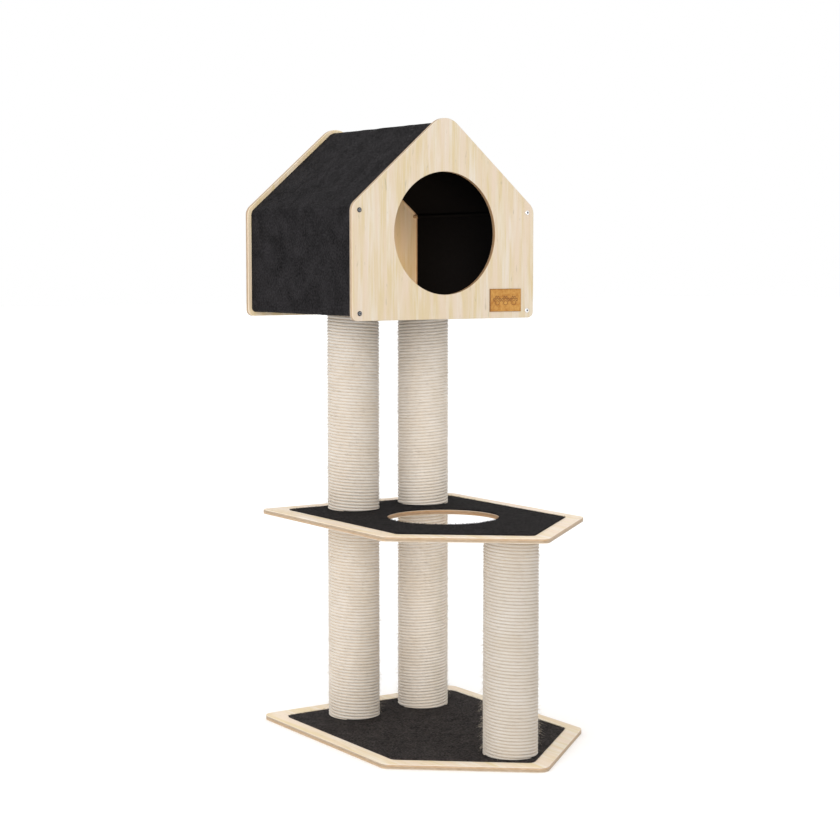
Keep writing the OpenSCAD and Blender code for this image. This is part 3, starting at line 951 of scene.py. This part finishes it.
# Fibres all over a carpet's top, on a jittered lattice, and thicker along its cut edges.
def carpetTufts(name, margins, radius, top, hole, seed):
    p = carpetSet
    corners = deckCorners(margins)
    rng = np.random.default_rng(seed)
    step = p["fibreEvery"]
    xs = np.arange(-halfBoard, halfBoard, step)
    ys = np.arange(deckSet["pointAt"], boardBack, step)
    x, y = (a.ravel() for a in np.meshgrid(xs, ys))
    x = x + rng.uniform(-0.5, 0.5, len(x)) * step
    y = y + rng.uniform(-0.5, 0.5, len(y)) * step
    border, _ = roundedOutline(corners, [radius] * 5, arcSteps=6, spacing=9.0)     # its bends only
    keep = inside([tuple(q) for q in border], x, y)
    if hole:
        keep &= np.hypot(x - hole[0][0], y - hole[0][1]) > hole[1]
    x, y = x[keep], y[keep]
    roots = np.column_stack([x, y, np.full(len(x), top - p["rootDeep"])])
    away = np.tile((0.0, 0.0, 1.0), (len(x), 1))
    outline, normals = roundedOutline(corners, [radius] * 5, arcSteps=24, spacing=0.0009)
    rim = outline - normals * rng.uniform(0, 0.0012, len(outline))[:, None]
    lowest, highest = (top - d for d in p["rimDeep"])
    rimRoots = np.column_stack([rim, rng.uniform(lowest, highest, len(rim))])
    rimAway = np.column_stack([normals * 0.8, np.full(len(rim), 0.6)])
    allRoots, allAway = [roots, rimRoots], [away, rimAway]
    short, long = p["fibreLength"]
    more = np.repeat((1.0, p["rimMore"]), (len(roots), len(rimRoots)))
    shortest, longest, thick = [np.full(len(more), short)], [long * more], [p["fibreThick"] * more]
    if hole:
        around = np.linspace(0, 2 * np.pi, int(2 * np.pi * hole[1] / p["fringeEvery"]), endpoint=False)
        inward = -np.column_stack([np.cos(around), np.sin(around)])
        ring = np.array(hole[0]) - inward * (hole[1] + rng.uniform(0, 0.001, len(around)))[:, None]
        allRoots.append(np.column_stack([ring, rng.uniform(lowest, highest, len(ring))]))
        allAway.append(np.column_stack([inward * 0.35, np.ones(len(ring))]))
        many, few = p["clumps"]
        clump = np.sin(around * many + 2 * np.sin(around * few)) * 0.5 + 0.5
        short, long = p["fringeLength"]
        longest.append(short + (long - short) * clump)
        shortest.append(longest[-1] * 0.55)
        thick.append(np.full(len(ring), p["fringeThick"]))
    roots, away, *lengths, thick = (np.concatenate(v) for v in (allRoots, allAway, shortest, longest, thick))
    return tufts(name, roots, away, seed, lengths, thick[:, None])


shelfHole = ((0.0, deckSet["holeAt"]), deckSet["holeRadius"])
for label, nodeName, margins, radius, hole, seed in (
        ("baseCarpet", "base_carpet", carpetSet["baseMargins"], carpetSet["baseRadius"], None, 5),
        ("shelfCarpet", "shelf_carpet", carpetSet["shelfMargins"], carpetSet["shelfRadius"], shelfHole, 6)):
    low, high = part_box(nodeName)
    black, tips = carpetBlacks[label]
    cloth = carpetPiece(label, margins, radius, low[2], high[2], hole, seed)
    finishPiece(cloth, black, "carpet", nodeName)
    pile = finishPiece(carpetTufts(label + "Pile", margins, radius, high[2], hole, seed), tips, "carpet")
    corners = np.array(deckCorners(margins))
    nextCorners = np.roll(corners, -1, axis=0)
    area = 0.5 * (corners[:, 0] * nextCorners[:, 1] - nextCorners[:, 0] * corners[:, 1]).sum()
    area -= np.pi * hole[1] ** 2 if hole else 0.0
print("stage: carpets")

plushSet = {
    "spacing": 0.004,
    "lump": 0.00035,
    "fibres": 60000,
    "fibreLength": (0.0008, 0.0018),
    "fibreThick": 0.00016,
    "fibreRoot": (0.0009, 0.0004),     # how deep they are rooted, and how far that varies
    "fibreEnds": 0.0005,
    "lie": (0.25, 0.3),                # how far the pile leans to the rear and down
    "archSteps": 240,
}
plushBlack = pileMaterial("plushNap", (8, 7, 8), (44, 42, 44), 0.035, 1.1, 0.01)
plushTips = pileMaterial("plushTips", (12, 11, 12), (58, 56, 58), 0.035, 1.0, 0.01)
liningBlack = pileMaterial("liningCloth", (8, 8, 9), (15, 15, 17), 0.01, 0.4, 0.0, gloss=0.02)
coverDepth = coverHigh[1] - coverLow[1]


# The covered body's outline, in from the plush face; the bends keep their centres.
def bodyOutline(inset, arcSteps=12, spacing=None):
    return roundedOutline(gableCorners(inset), fiveRadii(gableSet["bodyRadii"], inset - gableSet["lip"]),
                          arcSteps, spacing or plushSet["spacing"])


# The plush sleeve: the body's outline carried from the front panel to the back, outside and inside, closed
# at both ends. The outer face is lifted and sunk by smooth waves of the way round and the way back, which
# die away at the ends.
def coverPiece():
    p = plushSet
    points, normals = bodyOutline(gableSet["lip"])
    inner = points - normals * gableSet["cover"]
    around = np.concatenate([[0], np.cumsum(np.linalg.norm(np.diff(points, axis=0), axis=1))])
    ys = np.linspace(coverLow[1], coverHigh[1], int(coverDepth / p["spacing"]))
    u, y = np.meshgrid(around, ys)
    fromEnd = np.minimum(y - ys[0], ys[-1] - y)
    lump = p["lump"] * (waves(u, y, 11, 0.05) - 1.0) * np.clip(fromEnd / 0.01, 0, 1)
    outerGrid = points[None] + normals[None] * lump[..., None]
    outer = np.stack([outerGrid[..., 0], np.broadcast_to(ys[:, None], u.shape), outerGrid[..., 1]], axis=-1)
    back = np.array([lift(inner, coverHigh[1], True), lift(inner, coverLow[1], True)])
    grid = np.concatenate([outer, back]).reshape(-1, 3)
    rows, cols = len(ys) + 2, len(points)
    uv = np.concatenate([np.stack([u, y], axis=-1), np.zeros((2, cols, 2))]).reshape(-1, 2)
    piece = closedPiece("houseCover", grid, [gridFaces(rows, cols, closeRows=True, closeCols=True)], uv)
    return piece, around[-1] + np.linalg.norm(points[0] - points[-1])


# Short fibres rooted all over the sleeve's outer face, leaning a little to the rear and down.
def coverPile():
    p = plushSet
    rng = np.random.default_rng(21)
    points, normals = bodyOutline(gableSet["lip"], spacing=0.001)
    pick = rng.integers(0, len(points), p["fibres"])
    y = rng.uniform(coverLow[1] + p["fibreEnds"], coverHigh[1] - p["fibreEnds"], p["fibres"])
    deep, stray = p["fibreRoot"]
    flat = points[pick] - normals[pick] * deep + rng.normal(0, stray, (p["fibres"], 2))
    roots = np.column_stack([flat[:, 0], y, flat[:, 1]])
    rear, down = p["lie"]
    away = np.column_stack([normals[pick, 0], np.full(p["fibres"], rear), normals[pick, 1] - down])
    return tufts("houseCoverPile", roots, away, 22, p["fibreLength"], p["fibreThick"])


# Walls and roof only: an open outline carried from front to back, as a closed thin shell. The outline is
# cut off level with the top of the floor, and its two ends are joined across the thickness.
def archPiece(name, outer, inner, front, back, floorTop):
    def openLine(inset):
        points, _ = bodyOutline(inset, spacing=0.01)
        start = np.argmax((points[:, 1] > floorTop) & (points[:, 0] > 0))
        points = np.roll(points, -start, axis=0)
        above = points[:, 1] > floorTop
        points = points[above]
        lowRight = (points[0, 0], floorTop)
        lowLeft = (points[-1, 0], floorTop)
        return np.concatenate([[lowRight], points, [lowLeft]])

    def even(line):
        way = np.concatenate([[0], np.cumsum(np.linalg.norm(np.diff(line, axis=0), axis=1))])
        t = np.linspace(0, way[-1], plushSet["archSteps"])
        return np.column_stack([np.interp(t, way, line[:, 0]), np.interp(t, way, line[:, 1])])

    loop = np.concatenate([even(openLine(outer)), even(openLine(inner))[::-1]])
    grid = np.concatenate([lift(loop, front, True), lift(loop, back, True)])
    n = len(loop)
    half = n // 2
    k = np.arange(half - 1)
    endFront = np.stack([k, k + 1, n - 2 - k, n - 1 - k], axis=1)
    endBack = endFront[:, ::-1] + n
    return closedPiece(name, grid, [gridFaces(2, n, closeCols=True), endFront, endBack], smooth=False)


cover, girth = coverPiece()
finishPiece(cover, plushBlack, "plush", "house_cover")
coverFur = finishPiece(coverPile(), plushTips, "plush")
matLow, matHigh = (np.array(v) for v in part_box("house_mat"))
shellLow, shellHigh = (np.array(v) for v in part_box("house_shell"))
shellIn = gableSet["lip"] + gableSet["cover"]
liningIn = shellIn + gableSet["shell"]
cavityIn = liningIn + gableSet["lining"]
shellWood = plywood("shellPly", 0.0, 1.0, 1, alongY, tone="shell")
finishPiece(archPiece("houseShell", shellIn, liningIn, shellLow[1], shellHigh[1], matLow[2]),
            shellWood, "shell_board", "house_shell")
lining = finishPiece(archPiece("houseLining", liningIn, cavityIn, liningLow[1], liningHigh[1], matLow[2]),
                     liningBlack, "lining", "house_lining")


# A thin plush mat: a grid over the floor whose height swells from rounded edges and is lifted by smooth
# waves.
def matPiece(steps=90, roundWide=0.006):
    xs = np.linspace(matLow[0], matHigh[0], steps)
    ys = np.linspace(matLow[1], matHigh[1], steps)
    x, y = np.meshgrid(xs, ys)
    nearEdge = np.minimum(np.minimum(x - xs[0], xs[-1] - x), np.minimum(y - ys[0], ys[-1] - y))
    thick = matHigh[2] - matLow[2]
    swell = quarterRise(nearEdge / roundWide)
    z = matLow[2] + thick * (0.45 + 0.5 * swell) + 0.0002 * waves(x, y, 31, 0.05) * swell
    top = np.stack([x, y, z], axis=-1).reshape(-1, 3)
    bottom = np.stack([x, y, np.full_like(x, matLow[2])], axis=-1).reshape(-1, 3)
    return closedPiece("houseMat", np.concatenate([top, bottom]), slabFaces(steps, steps))


# the mat takes the darker carpet: painted shade
mat = finishPiece(matPiece(), carpetBlacks["shelfCarpet"][0], "carpet", "house_mat")
print("stage: house")

screwSet = {
    "head": 0.0045,
    "tall": 0.0022,
    "key": 0.0016,         # from the middle of the socket to its flats
    "keyDeep": 0.0014,
    "sides": 60,
    # crown and rim: painted reflections, bright on the right of the house, and dim with a dark rim on the
    # left
    "bright": (srgb(224, 225, 228), srgb(243, 243, 244)),
    "dimReflection": (srgb(176, 178, 182), srgb(66, 68, 74)),
    # the socket's dark colour: painted shade in the recess
    "socket": srgb(52, 53, 58),
}
rodSet = {
    "coat": (srgb(8, 8, 9), srgb(15, 15, 16)),
    "end": (srgb(150, 126, 98), srgb(166, 140, 110)),
    "bare": (0.017, 0.0155),           # how far the pale ends reach in, and where they are wholly pale
}


# Plated or blackened steel with finger wear in its colour, its roughness and a faint bump.
def metal(name, colour, rough, metallic=1.0):
    material, tree, shader = newMaterial(name, Metallic=metallic)
    wear = noiseValue(tree, 260.0, 5.0)
    worn = blendColour(tree, spread(tree, wear, 0.4, 0.7), colour, toned(colour, 0.75))
    feed(tree, shader.inputs["Base Color"], worn)
    feed(tree, shader.inputs["Roughness"], spread(tree, wear, 0.3, 0.7, rough - 0.08, rough + 0.08))
    addBump(tree, shader, wear, 0.0001, 0.3)
    return material


# Button heads: the map's V is the share of the way from the head's middle to its rim. Crown and rim carry
# painted reflections, and the socket painted shade.
def screwMaterial(name):
    p = screwSet
    material, tree, shader = newMaterial(name, Metallic=1.0)
    place = node(tree, "ShaderNodeSeparateXYZ", Vector=objectCoords(tree))
    onLeft = spread(tree, place.outputs["X"], 0.01, -0.01)
    _, outwards = mapParts(tree)
    rim = spread(tree, outwards, 0.42, 0.66)
    bright, dimReflection = (blendColour(tree, rim, *p[key]) for key in ("bright", "dimReflection"))
    # the left pair takes the dim painted reflection
    colour = blendColour(tree, onLeft, bright, dimReflection)
    colour = blendColour(tree, spread(tree, outwards, 0.40, 0.36), colour, p["socket"])
    feed(tree, shader.inputs["Base Color"], colour)
    feed(tree, shader.inputs["Roughness"], spread(tree, noiseValue(tree, 900.0), 0.3, 0.7, 0.22, 0.36))
    return material


# Tie rods: a matt black coat that stops short of the pale ends.
def rodMaterial(name):
    p = rodSet
    material, tree, shader = newMaterial(name, Roughness=0.9, Specular_IOR_Level=0.02)
    place = node(tree, "ShaderNodeSeparateXYZ", Vector=objectCoords(tree))
    middle = (frontHigh[1] + backLow[1]) / 2
    half = float(backLow[1] - middle)
    fromMiddle = apart(tree, place.outputs["Y"], float(middle))
    pale = spread(tree, fromMiddle, half - p["bare"][0], half - p["bare"][1])
    wear = noiseValue(tree, 300.0)
    colour = blendColour(tree, pale, blendColour(tree, wear, *p["coat"]), blendColour(tree, wear, *p["end"]))
    feed(tree, shader.inputs["Base Color"], colour)
    return material


nickel = screwMaterial("screwNickel")
boltBlack = metal("boltBlack", srgb(60, 60, 62), 0.45, 0.9)
zinc = metal("insertZinc", srgb(190, 190, 184), 0.4)
rodBlack = rodMaterial("rodBlack")


# Button heads with a six-sided socket: a profile of (radius, height) turned about each screw's axis. The
# dome is a quarter ellipse with a rounded rim; inside the socket the radius follows a hexagon.
def screwHead(name, spots, face, outward):
    p = screwSet
    sides = p["sides"]
    around = np.linspace(0, 2 * np.pi, sides, endpoint=False)
    q = np.linspace(0, 1, 9)
    rimR = p["head"] * np.concatenate([[1.0, 1.0], np.cos(q[1:] * np.pi / 2) ** 0.75])
    rimH = p["tall"] * np.concatenate([[0.0, 0.22], 0.22 + 0.78 * np.sin(q[1:] * np.pi / 2)])
    keep = rimR > p["key"] * 1.25
    rimR, rimH = rimR[keep], rimH[keep]
    hexagon = p["key"] / np.cos((around + np.pi / 6) % (np.pi / 3) - np.pi / 6)
    rings = [np.full(sides, r) for r in rimR] + [hexagon * 1.06, hexagon, hexagon, hexagon * 0.35]
    bottom = p["tall"] - p["keyDeep"]
    tops = list(rimH) + [p["tall"], p["tall"] - 0.0001, bottom, bottom - 0.0003]
    cosA, sinA = np.cos(around), np.sin(around)
    unit = [np.stack([r * cosA, np.full(sides, h), r * sinA], axis=1) for r, h in zip(rings, tops)]
    unit = np.concatenate(unit + [[(0.0, 0.0, 0.0), (0.0, tops[-1], 0.0)]])
    share = np.concatenate([np.repeat([r.mean() / p["head"] for r in rings], sides), [1.0, 0.0]])
    body, foot, floor = cappedFaces(len(rings), sides)
    points, quads, tris = [], [], []
    for k, (x, z) in enumerate(spots):
        placed = unit.copy()
        placed[:, 1] = face + outward * unit[:, 1]
        placed[:, 0] += x
        placed[:, 2] += z
        points.append(placed)
        quads.append(body + k * len(unit))
        tris += [foot + k * len(unit), floor + k * len(unit)]
    uv = np.tile(np.stack([np.zeros_like(share), share], axis=1), (len(spots), 1))
    return closedPiece(name, np.concatenate(points), [np.concatenate(quads), np.concatenate(tris)], uv)


screwLow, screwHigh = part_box("front_panel_screws")
headR = screwSet["head"]
screwSpots = [(x, z) for x in (screwLow[0] + headR, screwHigh[0] - headR)
              for z in (screwLow[2] + headR, screwHigh[2] - headR)]
finishPiece(screwHead("frontScrews", screwSpots, frontLow[1], -1.0), nickel,
            "screw_steel", "front_panel_screws")
finishPiece(screwHead("backScrews", screwSpots, backHigh[1], 1.0), nickel,
            "screw_steel", "back_panel_screws")

patchSet = {
    "edge": 0.0005,        # rounding of the face's edges
    "press": 0.00045,      # how deep the marks are
    "burn": 0.0022,        # how far in the edges are burnished; on the left and top the band is also painted shade
    "border": 0.0035,
    "line": 0.0005,
    "apart": 0.0195,       # from paw to paw
    "stroke": 0.0012,
    # the pads of a paw: across, up, half width and half height
    "pads": ((0.0, -0.0030, 0.0056, 0.0046), (-0.0070, 0.0028, 0.0021, 0.0029),
             (-0.0026, 0.0066, 0.0022, 0.0030), (0.0026, 0.0066, 0.0022, 0.0030),
             (0.0070, 0.0028, 0.0021, 0.0029)),
    "steps": (220, 130),
    "tan": (srgb(157, 102, 38), srgb(191, 143, 73)),
    # the burnished edges' colour, also used for the painted shade along the left and top edges
    "burnt": srgb(100, 56, 24),
}


# Tan leather with a pebbled grain; the map's V is 1 at the burnished edges and in the pressed marks, and the
# stronger band on the left and top edges is painted shade.
def leatherMaterial(name):
    p = patchSet
    material, tree, shader = newMaterial(name, Roughness=0.62, Specular_IOR_Level=0.3)
    coords = objectCoords(tree)
    pebbles = node(tree, "ShaderNodeTexVoronoi", Vector=coords, Scale=900.0)
    mottle = noiseValue(tree, 140.0, 5.0, 0.65, coords)
    _, burnishedAndShaded = mapParts(tree)
    base = blendColour(tree, spread(tree, mottle, 0.32, 0.68), *p["tan"])
    base = blendColour(tree, maths(tree, "MULTIPLY", burnishedAndShaded, 0.85), base, p["burnt"])
    feed(tree, shader.inputs["Base Color"], base)
    height = maths(tree, "ADD", maths(tree, "MULTIPLY", pebbles.outputs["Distance"], 0.6), mottle)
    addBump(tree, shader, height, 0.0004, 0.5)
    return material


def smoothStep(v):
    v = np.clip(v, 0, 1)
    return v * v * (3 - 2 * v)


# A leather patch: a grid over its face with soft edges and a pressed paw mark and border line. The pressing
# is the largest of smooth steps of each mark's distance function; V of the map carries the burnishing all
# round and a painted shade, wider and stronger, along the left and top edges.
def patchPiece():
    p = patchSet
    low, high = (np.array(v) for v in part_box("label_patch"))
    nx, nz = p["steps"]
    xs, zs = np.linspace(low[0], high[0], nx), np.linspace(low[2], high[2], nz)
    x, z = np.meshgrid(xs, zs)
    cx, cz = (low[0] + high[0]) / 2, (low[2] + high[2]) / 2
    fromSide = np.minimum(np.minimum(x - low[0], high[0] - x), np.minimum(z - low[2], high[2] - z))
    press = smoothStep(1 - np.abs(fromSide - p["border"]) / p["line"]) * 0.15
    for paw in (-1, 0, 1):
        for px, pz, rx, rz in p["pads"]:
            d = np.hypot((x - cx - px - paw * p["apart"]) / rx, (z - cz - pz + 0.002) / rz)
            ringed = smoothStep(1 - np.abs(d - 0.86) * rx / p["stroke"])
            press = np.maximum(press, ringed)
    drop = p["edge"] * (1 - quarterRise(fromSide / p["edge"]))
    y = low[1] + drop + p["press"] * press
    # the darker bands on the left and top edges are painted shade; the fainter band all round is burnishing
    burn = smoothStep(1 - (x - low[0]) / (p["burn"] * 1.4))
    burn = np.maximum(burn, smoothStep(1 - (high[2] - z) / p["burn"]) * 0.8)
    burn = np.maximum(burn, smoothStep(1 - fromSide / p["burn"]) * 0.5)
    burn = np.maximum(burn, press)
    top = np.stack([x, y, z], axis=-1).reshape(-1, 3)
    bottom = np.stack([x, np.full_like(x, high[1]), z], axis=-1).reshape(-1, 3)
    share = np.concatenate([burn.ravel(), np.ones(burn.size)])
    uv = np.column_stack([np.zeros_like(share), share])
    return closedPiece("labelPatch", np.concatenate([top, bottom]), slabFaces(nz, nx), uv)


finishPiece(patchPiece(), leatherMaterial("patchTan"), "patch_leather", "label_patch")
print("stage: screws and patch")

# the nodes that keep their own shapes, by a word in their names
cardTube = pileMaterial("cardTube", (150, 122, 88), (176, 148, 112), 0.01, 0.4, 0.0, 0.8)
plugWood = plywood("plugWood", 0.0, 1.0, 2, alongY, tone="plug")
kept = {"bolt": boltBlack, "stud": boltBlack, "insert": zinc, "rod": rodBlack, "tube": cardTube,
        "plug": plugWood, "house_floor": floorWood}
for nodeName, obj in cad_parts.items():
    if obj.hide_render:
        continue
    for word, material in kept.items():
        if word in nodeName:
            obj.data.materials.clear()
            obj.data.materials.append(material)


# The stage's floor is matt and faintly glowing; seen from underneath it is clear.
def groundMaterial(p):
    material, tree, shader = newMaterial("paleFloor", Base_Color=p["floor"] + (1.0,), Roughness=0.9,
                                         Specular_IOR_Level=0.0, Emission_Color=(1.0, 1.0, 1.0, 1.0),
                                         Emission_Strength=p["floorGlow"])
    side = node(tree, "ShaderNodeNewGeometry")
    clear = node(tree, "ShaderNodeBsdfTransparent")
    mix = node(tree, "ShaderNodeMixShader", Fac=side.outputs["Backfacing"])
    feed(tree, mix.inputs[1], shader.outputs["BSDF"])
    feed(tree, mix.inputs[2], clear.outputs["BSDF"])
    feed(tree, tree.nodes["Material Output"].inputs["Surface"], mix.outputs["Shader"])
    return material


floorMesh = bpy.data.meshes.new("stageFloor")
reach, drop = 30.0, 0.0005      # half its width, and how far it lies under the object
corners = [(-reach, -reach, -drop), (reach, -reach, -drop), (reach, reach, -drop), (-reach, reach, -drop)]
floorMesh.from_pydata(corners, [], [(0, 1, 2, 3)])
floorMesh.materials.append(groundMaterial(lightSet))
stageFloor = bpy.data.objects.new("stageFloor", floorMesh)
scene.collection.objects.link(stageFloor)
stageFloor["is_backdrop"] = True

low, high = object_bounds()
print("stage: finished")
